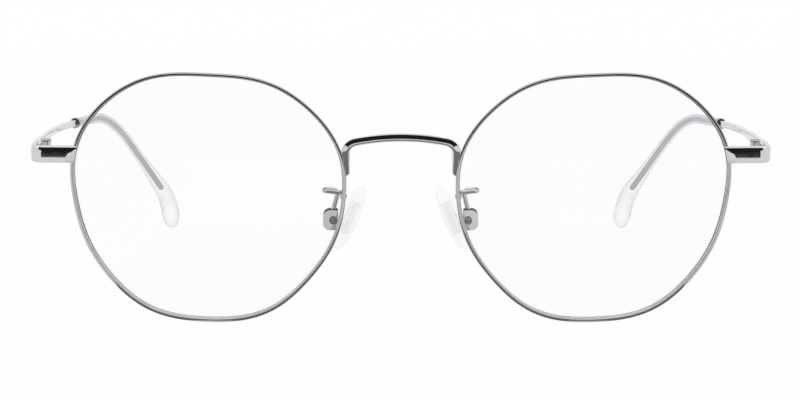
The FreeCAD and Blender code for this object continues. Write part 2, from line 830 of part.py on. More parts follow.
def make_pieces():
    """Every piece in the front frame, by node name."""
    rim_block = eye_block(rim_outside)
    rim_block_front = to_front(rim_block)
    upper_block, lower_block = make_closing_blocks(rim_block)
    left = {
        "rim": to_front(make_rim()),
        "lens": to_front(make_lens()),
        "end_piece": to_front(make_end_piece(rim_block)),
        "closing_block_upper": to_front(upper_block),
        "closing_block_lower": to_front(lower_block),
        "rim_screw": to_front(make_rim_screw()),
        "front_hinge_leaf": to_front(make_front_leaf()),
        "hinge_screw": to_front(make_hinge_screw()),
        "temple_hinge_leaf": to_front(make_temple_leaf()),
        "temple": to_front(make_temple()),
        "temple_tip": to_front(make_tip()),
        "temple_collar": to_front(make_collar()),
        "pad_box": make_pad_box(),
        "pad_screw": make_pad_screw(),
        "pad_insert": make_pad_insert(),
        "nose_pad": make_nose_pad(),
    }
    left["pad_arm"] = only_solid(make_pad_arm().cut(left["rim"]).cut(left["pad_box"]))
    pieces = {"bridge": make_bridge([rim_block_front, mirrored(rim_block_front)])}
    for name, shape in left.items():
        pieces[name + "_left"] = shape
        pieces[name + "_right"] = mirrored(shape)
    return pieces


def standing_placement():
    """Tilts the pair about X until rims and tips reach the same level, and lifts it to Z = 0."""
    rim_points = []
    for step in range(360):
        u, v = eye_point(math.radians(step), rim_outside)
        for depth in (-rim_depth / 2, rim_depth / 2):
            rim_points.append(eye_placement.multVec(dome_point(u, v, depth)))
    path = temple_path()
    tip_points = []
    for distance, height, thickness in tip_sections():
        ring = set_temple(tip_section(path, distance, height, thickness))
        tip_points += [eye_placement.multVec(p) for p in ring.discretize(outline_count)]

    def lowest(points, angle):
        turn = Rotation(outward, angle)
        return min(turn.multVec(p).z for p in points)

    low, high = -20.0, 20.0
    for _ in range(40):
        half = (low + high) / 2
        if lowest(tip_points, half) > lowest(rim_points, half):
            high = half
        else:
            low = half
    return Placement(Vector(0, 0, -lowest(rim_points, low)), Rotation(outward, low))


def row_placement(pieces):
    """Stands the pair up, centred over the origin in X and Y."""
    standing = standing_placement()
    whole = Part.makeCompound(list(pieces.values())).transformed(standing.toMatrix(), copy=True)
    bounds = whole.optimalBoundingBox(False, False)
    centring = Vector(0, -(bounds.YMin + bounds.YMax) / 2, -bounds.ZMin)
    return Placement(centring, Rotation()).multiply(standing)


def main():
    os.makedirs("parts", exist_ok=True)
    pieces = make_pieces()
    placement = row_placement(pieces).toMatrix()
    for name, shape in pieces.items():
        placed = shape.transformed(placement, copy=True)
        if not placed.isValid():
            raise ValueError(f"{name} is not valid")
        placed.exportStep(f"parts/{name}.step")


if __name__ == "__main__":
    main()
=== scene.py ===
import json
import math

import bpy
import numpy as np
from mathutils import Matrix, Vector


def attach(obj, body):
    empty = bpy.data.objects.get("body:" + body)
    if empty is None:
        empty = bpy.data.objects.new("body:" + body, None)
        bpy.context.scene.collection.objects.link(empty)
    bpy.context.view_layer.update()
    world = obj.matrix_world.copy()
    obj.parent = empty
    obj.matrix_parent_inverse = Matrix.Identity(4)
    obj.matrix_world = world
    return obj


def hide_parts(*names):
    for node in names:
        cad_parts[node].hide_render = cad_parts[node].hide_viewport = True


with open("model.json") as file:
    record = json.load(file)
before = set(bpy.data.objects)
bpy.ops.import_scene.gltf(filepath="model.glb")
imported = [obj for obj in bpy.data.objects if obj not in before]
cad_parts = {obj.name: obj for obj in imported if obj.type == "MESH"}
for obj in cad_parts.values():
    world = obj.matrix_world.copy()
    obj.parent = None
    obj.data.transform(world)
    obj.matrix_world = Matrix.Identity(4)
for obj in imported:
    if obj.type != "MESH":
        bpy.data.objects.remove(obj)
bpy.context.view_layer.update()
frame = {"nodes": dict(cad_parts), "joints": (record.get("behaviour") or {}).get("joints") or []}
joints = {joint["name"]: joint for joint in frame["joints"]}
print("frame loaded:", len(frame["nodes"]), "nodes")

# All shapes below are worked out in millimetres and set into the frame in metres.
millimetre = 0.001

eye = dict(
    width=50.2, height=45.9, bridge=21.5, wrap=3.0, dome=150.0,
    radii=(0.984, 1.057, 1.077, 1.053, 0.995, 1.024, 1.036, 1.036,
           0.997, 0.983, 0.987, 1.02, 0.998, 1.008, 0.977, 0.963),
)


def polar(degrees):
    return math.cos(math.radians(degrees)), math.sin(math.radians(degrees))


# A smooth periodic curve through the eye's radii: each radius times sin(n a / 2) / (n tan(a / 2)).
def eyeRatio(angles):
    count = len(eye["radii"])
    apart = angles[..., None] - 2 * np.pi * np.arange(count) / count + 1e-9
    weights = np.sin(count * apart / 2) / (count * np.tan(apart / 2))
    return weights @ np.array(eye["radii"])


def rawEye(angles):
    ratio = eyeRatio(angles)
    return np.stack([ratio * np.cos(angles), ratio * np.sin(angles)], -1)


allRound = rawEye(np.linspace(0, 2 * np.pi, 360, endpoint=False))
rawLow, rawHigh = allRound.min(0), allRound.max(0)


# The curve above, moved and stretched to fill the lens box.
def boxedEye(angles):
    share = (rawEye(angles) - (rawLow + rawHigh) / 2) / (rawHigh - rawLow)
    return share * np.array([eye["width"], eye["height"]])


# A point of the eye's curve moved outwards along its normal by the offset.
def eyePoint(angles, offset):
    step = 1e-4
    along = boxedEye(angles + step) - boxedEye(angles - step)
    along /= np.linalg.norm(along, axis=-1, keepdims=True)
    normal = np.stack([along[..., 1], -along[..., 0]], -1)
    return boxedEye(angles) + np.asarray(offset)[..., None] * normal


def domeSag(flat):
    return eye["dome"] - np.sqrt(eye["dome"] ** 2 - (flat**2).sum(-1))


# A place of the eye laid on the dome and then moved towards the dome's centre by the depth.
def domePoint(flat, depth):
    sag = domeSag(flat)
    share = 1 - np.asarray(depth) / eye["dome"]
    return np.stack([flat[..., 0] * share, eye["dome"] + (sag - eye["dome"]) * share,
                     flat[..., 1] * share], -1)


# How far out an outline lies at a height, on the temple (+1) or the nose (-1) side.
def wallAt(offset, rise, side):
    low, high = (-math.pi / 2, math.pi / 2) if side > 0 else (3 * math.pi / 2, math.pi / 2)
    for _ in range(50):
        half = (low + high) / 2
        if eyePoint(np.array(half), offset)[1] < rise:
            low = half
        else:
            high = half
    return float(eyePoint(np.array(low), offset)[0])


def turn(points, degrees, axis):
    c, s = polar(degrees)
    x, y, z = points[..., 0], points[..., 1], points[..., 2]
    if axis == "X":
        return np.stack([x, c * y - s * z, s * y + c * z], -1)
    if axis == "Y":
        return np.stack([c * x + s * z, y, c * z - s * x], -1)
    return np.stack([c * x - s * y, s * x + c * y, z], -1)


def frontFromEye(points):
    return turn(points, eye["wrap"], "Z") + [(eye["width"] + eye["bridge"]) / 2, 0, 0]


# The rim's own sizes, and those of the rounder wire that dresses it.
rim = dict(
    thickness=0.8, depth=1.7, groove=0.3, slit=0.15,
    wire=0.70, wireDepth=1.6, roundness=3.6, grooveWidth=0.8, dip=0.24, steps=720,
)
rimOutside = rim["thickness"] - rim["groove"]
endPiece = dict(
    rise=7.9, height=3.2, reach=7.76, thickness=1.1, bend=2.2, leg=6.35, proud=0.5, bevel=0.5,
    bevelTurn=11.0, bevelLean=45.0, roundness=4.0, around=96, seat=2.6, step=0.06, inside=0.004,
)
hinge = dict(inset=1.25)
wire = dict(height=1.35, thickness=1.05, core=0.95, step=3.0)

rimWall = wallAt(rimOutside, endPiece["rise"], 1)
rimFront = float(domeSag(np.array([rimWall, endPiece["rise"]]))) - rim["depth"] / 2
endFront = rimFront - endPiece["proud"]
endOuter = rimWall + endPiece["reach"]
buttPlane = endFront + endPiece["leg"]
hingeAcross = endOuter - endPiece["thickness"] - hinge["inset"]
hingePoint = np.array([hingeAcross, buttPlane, endPiece["rise"]])

# The hinge's own place and axis in the frame give the front's tilt and height.
hingeJoint = joints["temple_fold_left"]
lean = math.degrees(math.atan2(-hingeJoint["axis"][1], hingeJoint["axis"][2]))
hingeInFront = frontFromEye(hingePoint)
frontMiddle = np.array(hingeJoint["pos_m"]) / millimetre - turn(hingeInFront, lean, "X")


def rowFromFront(points):
    return (turn(points, lean, "X") + frontMiddle) * millimetre


# Quads over a grid of points, fans to the mean of the first and the last row where they are
# ends, and all faces turned outwards by the sign of the volume that they enclose.
def surface(name, grid, ringRows=False, sharp=40, ends=True, reach=None):
    rows, columns = grid.shape[:2]
    index = np.arange(rows * columns).reshape(rows, columns)
    following = np.roll(index, -1, 0) if ringRows else index[1:]
    current = index if ringRows else index[:-1]
    quads = np.stack([current, np.roll(current, -1, 1), np.roll(following, -1, 1), following], -1)
    quads = quads.reshape(-1, 4)
    points = grid.reshape(-1, 3)
    fans = []
    if ends and not ringRows:
        for row, reverse in ((index[0], False), (index[-1], True)):
            points = np.vstack([points, grid.reshape(-1, 3)[row].mean(0)])
            pair = (np.roll(row, -1), row)
            first, second = pair[::-1] if reverse else pair
            fans.append(np.stack([first, second, np.full(columns, len(points) - 1)], -1))
    triangles = np.vstack([quads[:, [0, 1, 2]], quads[:, [0, 2, 3]], *fans])
    corners = points[triangles] - points.mean(0)
    volume = np.einsum("ij,ij->i", corners[:, 0], np.cross(corners[:, 1], corners[:, 2])).sum()
    faces = quads.tolist() + [fan for part in fans for fan in part.tolist()]
    if volume < 0:
        faces = [face[::-1] for face in faces]
    mesh = bpy.data.meshes.new(name)
    mesh.from_pydata(points.tolist(), [], faces)
    mesh.shade_smooth()
    mesh.set_sharp_from_angle(angle=math.radians(sharp))
    if reach is not None:
        values = np.concatenate([np.repeat(reach, columns), reach[[0, -1]]])
        mesh.attributes.new("reach", "FLOAT", "POINT").data.foreach_set("value", values)
    piece = bpy.data.objects.new(name, mesh)
    bpy.context.scene.collection.objects.link(piece)
    return piece


def dress(piece, body, slot, material, *nodes):
    piece.data.materials.clear()
    piece.data.materials.append(material)
    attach(piece, body)
    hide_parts(*nodes)
    return piece


# The same grid for the wearer's left, and its mirror image for the right.
def bothSides(grid):
    return (("left", rowFromFront(grid)), ("right", rowFromFront(grid * [-1, 1, 1])))


# A closed outline: x and y are the half sizes times the cosine and sine, each to the power 2 / n.
def roundedOutline(wide, tall, roundness, count):
    angles = 2 * np.pi * (np.arange(count) + 0.5) / count
    c, s = np.cos(angles), np.sin(angles)
    return np.stack([wide / 2 * np.sign(c) * np.abs(c) ** (2 / roundness),
                     tall / 2 * np.sign(s) * np.abs(s) ** (2 / roundness)], -1)


# Even steps along a straight run, without its first point.
def evenSteps(lead, direction, length, step):
    count = max(2, int(length / step)) + 1
    return lead + direction * np.linspace(0, length, count)[1:, None]


# Straight runs between the corners, joined by arcs that touch both runs: each arc starts where
# the tangent length is left and turns evenly from one direction to the next.
def bentPath(corners, radii, step):
    corners = np.asarray(corners, float)
    runs = np.diff(corners, axis=0)
    directions = runs / np.linalg.norm(runs, axis=1, keepdims=True)
    points, tangents = [corners[:1]], [directions[:1]]
    for corner, before, after, radius in zip(corners[1:-1], directions, directions[1:], radii):
        angle = math.acos(np.clip(before @ after, -1, 1))
        start = corner - before * radius * math.tan(angle / 2)
        inward = (after - before * math.cos(angle)) / math.sin(angle)
        count = max(4, math.ceil(angle * radius / step))
        turned = np.linspace(0, angle, count + 1)[:, None]
        lead = points[-1][-1]
        straight = evenSteps(lead, before, np.linalg.norm(start - lead), step)[:-1]
        arc = before * np.sin(turned) + inward * (1 - np.cos(turned))
        points += [straight, start + radius * arc]
        tangents += [np.repeat(before[None], len(straight), 0),
                     before * np.cos(turned) + inward * np.sin(turned)]
    lead = points[-1][-1]
    straight = evenSteps(lead, directions[-1], np.linalg.norm(corners[-1] - lead), step)
    points.append(straight)
    tangents.append(np.repeat(directions[-1][None], len(straight), 0))
    return np.vstack(points), np.vstack(tangents)


# Each outline point is set at its path point plus x times the side and y times the lift direction.
def carry(points, tangents, outlines, upward=(0.0, 0.0, 1.0)):
    side = np.cross(tangents, upward)
    side /= np.linalg.norm(side, axis=1, keepdims=True)
    lift = np.cross(side, tangents)
    outlines = np.broadcast_to(outlines, (len(points),) + outlines.shape[-2:])
    return points[:, None] + outlines[..., :1] * side[:, None] + outlines[..., 1:] * lift[:, None]


def lengthsAlong(points):
    return np.concatenate([[0.0], np.cumsum(np.linalg.norm(np.diff(points, axis=0), axis=1))])


# 1 up to share 0, then falling as a quarter circle to 0 at share 1, but never under the least.
def roundedEnd(share, least=0.0):
    return np.sqrt(np.clip(1 - np.clip(share, 0, 1) ** 2, least, 1))


class Value:
    # A number in a material. Sums, products and so on of it add the Math nodes.
    def __init__(self, paint, socket):
        self.paint, self.socket = paint, socket

    def math(self, operation, *values):
        inputs = dict(enumerate(values))
        return self.paint.number("ShaderNodeMath", {"operation": operation}, inputs)

    def __add__(self, other):
        return self.math("ADD", self, other)

    def __rsub__(self, other):
        return self.math("SUBTRACT", other, self)

    def __mul__(self, other):
        return self.math("MULTIPLY", self, other)

    def __pow__(self, other):
        return self.math("POWER", self, other)

    __radd__ = __add__
    __rmul__ = __mul__

    def ease(self, low, high):
        # 0 below low, 1 above high and smooth between them.
        settings = {"interpolation_type": "SMOOTHSTEP"}
        return self.paint.number("ShaderNodeMapRange", settings, {0: self, 1: low, 2: high})


class Paint:
    def __init__(self, tree):
        self.tree = tree
        tree.nodes.clear()

    def add(self, kind, settings=None, inputs=None, output=0):
        node = self.tree.nodes.new(kind)
        for name, value in (settings or {}).items():
            if name == "stops":
                ramp = node.color_ramp
                for place, colour in value:
                    element = ramp.elements[0] if place == value[0][0] else ramp.elements.new(place)
                    element.position, element.color = place, colour
            else:
                setattr(node, name, value)
        for name, value in (inputs or {}).items():
            value = value.socket if isinstance(value, Value) else value
            if isinstance(value, bpy.types.NodeSocket):
                self.tree.links.new(value, node.inputs[name])
            else:
                node.inputs[name].default_value = value
        return node.outputs[output] if node.outputs else None

    def number(self, kind, settings=None, inputs=None, output=0):
        return Value(self, self.add(kind, settings, inputs, output))

    def parts(self, vector):
        node = self.add("ShaderNodeSeparateXYZ", None, {"Vector": vector}).node
        return [Value(self, socket) for socket in node.outputs]

    def rays(self, *names):
        node = self.add("ShaderNodeLightPath").node
        return [Value(self, node.outputs[name]) for name in names]

    def mixColour(self, factor, first, second):
        return self.add("ShaderNodeMix", {"data_type": "RGBA"}, {0: factor, 6: first, 7: second}, 2)

    def bump(self, height, distance, strength=1.0):
        inputs = {"Height": height, "Distance": distance, "Strength": strength}
        return self.add("ShaderNodeBump", None, inputs)


def newMaterial(name):
    material = bpy.data.materials.new(name)
    material.use_nodes = True
    paint = Paint(material.node_tree)
    return material, paint, paint.add("ShaderNodeTexCoord", output="Object")


def noise(paint, place, scale, detail=2.0, roughness=0.5, stretch=None):
    if stretch:
        place = paint.add("ShaderNodeMapping", None, {"Vector": place, "Scale": stretch})
    return paint.number("ShaderNodeTexNoise", None,
                        {"Vector": place, "Scale": scale, "Detail": detail, "Roughness": roughness})


def metal(name, light, dark, roughness, spread, grain, grainHeight, edge=1.0, paintedCoreShade=None):
    # Polished plating: faint cloudy tone, fine polishing haze in the gloss, and a slight ripple.
    material, paint, place = newMaterial(name)
    cloud = noise(paint, place, 90.0, 3.0)
    haze = noise(paint, place, grain, 4.0, 0.6, (1.0, 0.25, 1.0))
    colour = paint.mixColour(cloud.ease(0.3, 0.7), dark, light)
    if paintedCoreShade:
        # Where the wire lies inside the tip its colour is mixed towards a darker grey, more so
        # towards its end: painted shade for the darkening of the core seen through the tip.
        reach = paint.number("ShaderNodeAttribute", {"attribute_name": "reach"}, output="Fac")
        colour = paint.mixColour(reach, colour, paintedCoreShade)
    gloss = haze * spread + (roughness - spread / 2)
    ripple = noise(paint, place, 260.0, 1.0) * 0.6 + haze * 0.4
    shader = paint.add("ShaderNodeBsdfPrincipled", None, {
        "Base Color": colour, "Metallic": 1.0, "Roughness": gloss,
        "Specular Tint": (edge, edge, edge, 1), "Normal": paint.bump(ripple, grainHeight),
    })
    paint.add("ShaderNodeOutputMaterial", None, {"Surface": shader})
    return material


def grey(level, blue=0.01):
    return (level, level, level + blue, 1)


# Light and dark tone, roughness and its spread, grain scale and height, and the edge's tint.
paleSilver, shadeSilver = (0.76, 0.76, 0.765, 1), grey(0.70)
silver = metal("polishedSilver", paleSilver, shadeSilver, 0.075, 0.05, 900.0, 0.000003)
# The rims' silver is a darker copy of the polished silver, with a darker edge tint: painted shade
# for the rims' darker look.
shadedRimSilver = metal("shadedRimSilver", grey(0.60), grey(0.53), 0.10, 0.05, 900.0, 0.000003, 0.25)
# The pad arms' silver is a darker copy of the polished silver, with a darker edge tint: painted
# shade for the arms and the pad boxes.
shadedArmSilver = metal("shadedArmSilver", grey(0.68), grey(0.56), 0.12, 0.06, 900.0, 0.000004, 0.15)
# The temple's wire gets a darker grey inside the tip, painted shade that deepens towards its end.
templeSilver = metal("templeSilver", paleSilver, shadeSilver, 0.09, 0.05, 900.0, 0.000003,
                     paintedCoreShade=(0.50, 0.52, 0.505, 1))
# The collar's dark purple tone is painted shade, standing for the shadow at the joint between the
# collar and the tip.
darkBand = metal("shadedCollar", (0.50, 0.47, 0.55, 1), (0.36, 0.33, 0.40, 1), 0.16, 0.06, 900.0,
                 0.000004)
# The pad screw's steel is darker than the other screws': painted shade for the dark dot in the
# middle of the pad box.
shadeSteel = metal("padScrewShadedSteel", grey(0.30), grey(0.20), 0.22, 0.12, 2600.0, 0.000006)
screwSteel = metal("turnedSteel", grey(0.52), grey(0.42, 0.02), 0.20, 0.12, 2600.0, 0.000006)
print("metals ready")


def clearLens():
    # Mostly see-through, with the faint green and pink sheen of an anti-reflection coat.
    material, paint, place = newMaterial("coatedLens")
    seen = paint.number("ShaderNodeLayerWeight", None, {"Blend": 0.12}, "Fresnel")
    patch = noise(paint, place, 22.0, 1.0).ease(0.4, 0.6)
    sheen = paint.mixColour(patch, (0.45, 0.95, 0.62, 1), (0.98, 0.62, 0.80, 1))
    gloss = paint.add("ShaderNodeBsdfPrincipled", None, {
        "Base Color": sheen, "Metallic": 1.0, "Roughness": 0.03,
    })
    clear = paint.add("ShaderNodeBsdfTransparent", None, {"Color": (0.998, 0.999, 0.9985, 1)})
    shader = paint.add("ShaderNodeMixShader", None, {0: seen * 0.08 + 0.008, 1: clear, 2: gloss})
    paint.add("ShaderNodeOutputMaterial", None, {"Surface": shader})
    return material


def clearPlastic(name, stops, edgeTone, edgePower, milk, roughness, speck):
    # Clear plastic: see-through face on, greyer and glossier towards its outline. The stops give
    # its tint along the piece.
    material, paint, place = newMaterial(name)
    edge = paint.number("ShaderNodeLayerWeight", None, {"Blend": 0.5}, "Facing")
    reach = paint.add("ShaderNodeAttribute", {"attribute_name": "reach"}, output="Fac")
    tint = paint.add("ShaderNodeValToRGB", {"stops": stops}, {"Fac": reach})
    cloud = noise(paint, place, speck, 2.0)
    broken = cloud.ease(0.35, 0.65) * 0.5 + 0.5
    # The grey towards the outline is painted shade, standing in for the darkening that the clear
    # plastic's edges get from the light they bend and reflect.
    shade = paint.mixColour((edge**edgePower) * broken, (1, 1, 1, 1), edgeTone)
    multiply = {"data_type": "RGBA", "blend_type": "MULTIPLY"}
    through = paint.add("ShaderNodeMix", multiply, {0: 1.0, 6: tint, 7: shade}, 2)
    clear = paint.add("ShaderNodeBsdfTransparent", None, {"Color": through})
    haze = noise(paint, place, 1400.0, 2.0)
    body = paint.add("ShaderNodeBsdfPrincipled", None, {
        "Base Color": tint, "Roughness": haze * 0.08 + roughness, "IOR": 1.47,
        "Coat Weight": 0.6, "Coat Roughness": 0.04, "Normal": paint.bump(cloud, 0.00001),
    })
    milky = edge**3 * 0.25 + cloud * 0.02 + milk
    shader = paint.add("ShaderNodeMixShader", None, {0: milky, 1: clear, 2: body})
    paint.add("ShaderNodeOutputMaterial", None, {"Surface": shader})
    return material


tipStops = [
    (0.0, (0.975, 0.965, 0.992, 1)), (0.30, (0.985, 0.965, 0.985, 1)),
    (0.50, (0.992, 0.97, 0.982, 1)), (0.72, (0.985, 0.985, 0.985, 1)),
    (1.0, (0.955, 0.96, 0.96, 1)),
]
clearStops = [(0.0, (0.992, 0.993, 0.993, 1)), (1.0, (0.992, 0.993, 0.993, 1))]
insertStops = [(0.0, (0.975, 0.98, 0.978, 1)), (1.0, (0.975, 0.98, 0.978, 1))]
lensCoat = clearLens()
# Tint, the edge's tone and power, milkiness, roughness and the scale of its cloudy specks.
tipPlastic = clearPlastic("clearAcetate", tipStops, (0.70, 0.71, 0.73, 1), 2.4, 0.015, 0.06, 420.0)
padSilicone = clearPlastic(
    "clearSilicone", clearStops, (0.80, 0.81, 0.82, 1), 4.5, 0.004, 0.18, 240.0)
insertPlastic = clearPlastic(
    "insertPlastic", insertStops, (0.80, 0.82, 0.81, 1), 2.4, 0.008, 0.25, 300.0)
print("plastics ready")


# The wire's outline is carried round the eye: an angle of the eye gives the place, the outline
# gives the offset from the eye's curve and the depth. A groove for the lens is pushed into its
# inner side as a smooth dip.
def rimGrid():
    outline = roundedOutline(rim["wire"], rim["wireDepth"], rim["roundness"], 48)
    offset = outline[:, 0] + rimOutside - rim["wire"] / 2
    depth = outline[:, 1]
    inner = outline[:, 0] < 0
    dip = np.clip(1 - (depth / (rim["grooveWidth"] / 2)) ** 2, 0, 1) ** 0.5
    offset = offset + inner * dip * rim["dip"]
    slitAngle = math.asin(min(1.0, endPiece["rise"] / rimWall))
    for _ in range(20):
        slitAngle += (endPiece["rise"] - eyePoint(np.array(slitAngle), rimOutside)[1]) / rimWall
    half = rim["slit"] / 2 / rimWall
    angles = np.linspace(slitAngle + half, slitAngle - half + 2 * np.pi, rim["steps"])
    flat = eyePoint(angles[:, None] + 0 * offset, offset[None] + 0 * angles[:, None])
    return frontFromEye(domePoint(flat, depth))


for side, grid in bothSides(rimGrid()):
    dress(surface("rimWire_" + side, grid), "front", "frame_metal", shadedRimSilver, "rim_" + side)
print("rims done")

lens = dict(thickness=1.6, gap=0.03, bevelWidth=0.5, steps=240, rings=14)


# Rows run from the front pole over the face, round the edge's bevel and back to the rear pole.
def lensGrid():
    face = rim["groove"] + lens["gap"]
    half = lens["thickness"] / 2
    shares = np.linspace(0.02, 1, lens["rings"]) ** 0.8
    rows = [(s, -face, -half) for s in shares]
    rows += [(1, -face, -lens["bevelWidth"]), (1, -0.03, -0.08), (1, -0.03, 0.08)]
    rows += [(1, -face, lens["bevelWidth"])] + [(s, -face, half) for s in shares[::-1]]
    share, offset, depth = np.array(rows).T
    angles = 2 * np.pi * np.arange(lens["steps"]) / lens["steps"]
    flat = eyePoint(angles[None] + 0 * offset[:, None], offset[:, None] + 0 * angles)
    return frontFromEye(domePoint(flat * share[:, None, None], depth[:, None]))


for side, grid in bothSides(lensGrid()):
    dress(surface("clearLens_" + side, grid, sharp=30), "front", "lens", lensCoat, "lens_" + side)
print("lenses done")

bridge = dict(
    height=1.5, depth=1.6, rise=11.7, arch=40.0, corner=2.4, foot=4.2, forward=0.9, ending=0.45,
    upperRoundness=8.0, lowerRoundness=2.6, roll=-30.0, around=64,
)


# A low arch between two upright feet, with small arcs between them, tilted forward at the top.
def bridgeGrid():
    wall = wallAt(rimOutside, bridge["foot"], -1)
    footPlace = frontFromEye(domePoint(np.array([wall, bridge["foot"]]), 0.0))
    footX, footY = footPlace[0], footPlace[1]
    archCentre = bridge["rise"] - bridge["arch"]
    cornerX = footX - bridge["corner"]
    cornerZ = archCentre + math.sqrt((bridge["arch"] - bridge["corner"]) ** 2 - cornerX**2)
    leanBack = math.atan2(cornerX, cornerZ - archCentre)
    arc = np.linspace(-leanBack, leanBack, 121)
    turnIn = np.linspace(math.pi / 2, leanBack, 41)[:-1]
    rise = np.linspace(bridge["foot"], cornerZ, 25)[:-1]
    foot = np.stack([np.full(len(rise), footX), 0 * rise, rise], -1)
    bend = np.stack([cornerX + bridge["corner"] * np.sin(turnIn), 0 * turnIn,
                     cornerZ + bridge["corner"] * np.cos(turnIn)], -1)
    archX, archZ = bridge["arch"] * np.sin(-arc), archCentre + bridge["arch"] * np.cos(arc)
    arch = np.stack([archX, 0 * arc, archZ], -1)
    half = np.vstack([foot, bend])
    path = np.vstack([half, arch, half[::-1] * [-1, 1, 1]])
    tangents = np.gradient(path, axis=0)
    tangents /= np.linalg.norm(tangents, axis=1, keepdims=True)
    reach = lengthsAlong(path)
    fromEnd = np.minimum(reach, reach[-1] - reach)
    ending = roundedEnd(1 - fromEnd / bridge["ending"], 0.04)
    # The bar's upper side is flat with tight corners, its underside round, and it rolls back
    # from the feet to the arch so that its front face stands upright. The outline's x runs down.
    upper, lower = (roundedOutline(bridge["height"], bridge["depth"], bridge[key], bridge["around"])
                    for key in ("upperRoundness", "lowerRoundness"))
    outline = np.where(upper[:, :1] < 0, upper, lower)
    outlines = outline[None] * np.stack([ending, 0.9 + 0.1 * ending], -1)[:, None]
    up = np.clip((path[:, 2] - bridge["foot"]) / (bridge["rise"] - bridge["foot"]), 0, 1)
    roll = math.radians(bridge["roll"]) * (up**2 * (3 - 2 * up))[:, None]
    x, y, c, s = outlines[..., 0], outlines[..., 1], np.cos(roll), np.sin(roll)
    outlines = np.stack([x * c - y * s, x * s + y * c], -1)
    grid = carry(path, tangents, outlines, (0.0, 1.0, 0.0))
    middle = (bridge["foot"] + bridge["rise"]) / 2
    tilt = math.degrees(math.asin(bridge["forward"] / (bridge["rise"] - middle)))
    return turn(grid - [0, 0, middle], tilt, "X") + [0, footY, middle]


dress(surface("bridgeBar", rowFromFront(bridgeGrid())), "front", "frame_metal", silver, "bridge")
print("bridge done")


# The strip's outline is carried from the rim along the front, round the bend and back to the
# butt face. Over the rim it reaches the rim's inner edge, and behind the rim's front it ends
# inside the rim. The facet is a plane that falls back from the front face towards the rim.
def endPieceGrid():
    v = endPiece
    middle = v["thickness"] / 2
    start = rimWall - 2 * rim["thickness"]
    outer = endOuter - middle - v["inside"]
    corners = [(start, endFront + middle, v["rise"]), (outer, endFront + middle, v["rise"]),
               (outer, buttPlane, v["rise"])]
    path, tangents = bentPath(corners, [v["bend"] - middle], v["step"])
    outline = roundedOutline(v["thickness"], v["height"], v["roundness"], v["around"])
    grid = carry(path, tangents, outline)
    heights = np.linspace(-0.6, 0.6, 9) * v["height"] + v["rise"]  # a little past both edges
    innerEdge, underRim = ([wallAt(offset, height, 1) for height in heights]
                           for offset in (rimOutside - rim["wire"], 0.2))
    overRim = grid[..., 1] < endFront + v["proud"]
    first = np.where(overRim, np.interp(grid[..., 2], heights, innerEdge),
                     np.interp(grid[..., 2], heights, underRim))
    last = start + 2 * v["seat"]
    share = (grid[..., 0] - start) / (last - start)
    grid[..., 0] = np.where(share < 1, first + (last - first) * share, grid[..., 0])
    c, s = polar(v["bevelLean"])
    beyond = (rimWall + v["bevel"] - grid[..., 0]) * c - (grid[..., 2] - v["rise"]) * s
    facet = endFront + beyond * math.tan(math.radians(v["bevelTurn"]))
    grid[..., 1] = np.where(beyond > 0, np.maximum(grid[..., 1], facet), grid[..., 1])
    return frontFromEye(grid)


for side, grid in bothSides(endPieceGrid()):
    dress(surface("endPiece_" + side, grid, sharp=35), "front", "frame_metal", silver,
          "end_piece_" + side)
print("end pieces done")

temple = dict(
    length=140.5, down=6.4, spread=0.0, gap=0.05, butt=3.0, shoulder=1.8, shoulderStart=5.0,
    shoulderGap=3.0, step=0.8, inturn=14.7, inturnRadius=195.0, earRun=1.0, earRadius=26.0,
    tipDrop=39.0, tipInward=29.0, tipRun=14.7, endRadius=26.0, endDrop=38.0, endInward=7.5,
    endRun=7.0, coreMargin=13.0, coreEnd=0.5,
)
tip = dict(length=63.0, mouth=(1.8, 1.75), slim=(2.0, 1.9), wide=(5.0, 3.5), end=3.8, core=0.04)
collar = dict(length=1.4, wall=0.18, lip=0.1)


def runDirection(drop, inward):
    (cd, sd), (ci, si) = polar(drop), polar(inward)
    return np.array([-cd * si, cd * ci, -sd])


directions = [
    runDirection(0, 0), runDirection(0, temple["inturn"]),
    runDirection(temple["tipDrop"], temple["tipInward"]),
    runDirection(temple["endDrop"], temple["endInward"]),
]
bendRadii = [temple["inturnRadius"], temple["earRadius"], temple["endRadius"]]
bendTurns = [math.acos(float(a @ b)) for a, b in zip(directions, directions[1:])]
frontRun = temple["length"] - temple["earRun"] - temple["tipRun"] - temple["endRun"]
frontRun -= sum(radius * angle for radius, angle in zip(bendRadii, bendTurns))


# The middle of the wire: back, in towards the head, down behind the ear, and down again.
def templePath():
    touches = [0.0] + [r * math.tan(a / 2) for r, a in zip(bendRadii, bendTurns)] + [0.0]
    corners = [np.array([hinge["inset"] + wire["thickness"] / 2, 0.0, 0.0])]
    runs = [frontRun, temple["earRun"], temple["tipRun"], temple["endRun"]]
    for direction, run, before, after in zip(directions, runs, touches, touches[1:]):
        corners.append(corners[-1] + direction * (before + run + after))
    return bentPath(corners, bendRadii, 0.25)


# The path's points, at the wanted distances along it.
def along(distances):
    points, tangents = templePath()
    reach = lengthsAlong(points)
    at = [np.interp(distances, reach, points[:, k]) for k in range(3)]
    aim = np.stack([np.interp(distances, reach, tangents[:, k]) for k in range(3)], -1)
    return np.stack(at, -1), aim / np.linalg.norm(aim, axis=1, keepdims=True)


def frontFromTemple(points):
    placed = turn(turn(points, -temple["down"], "X"), -eye["wrap"] - temple["spread"], "Z")
    return frontFromEye(placed + hingePoint)


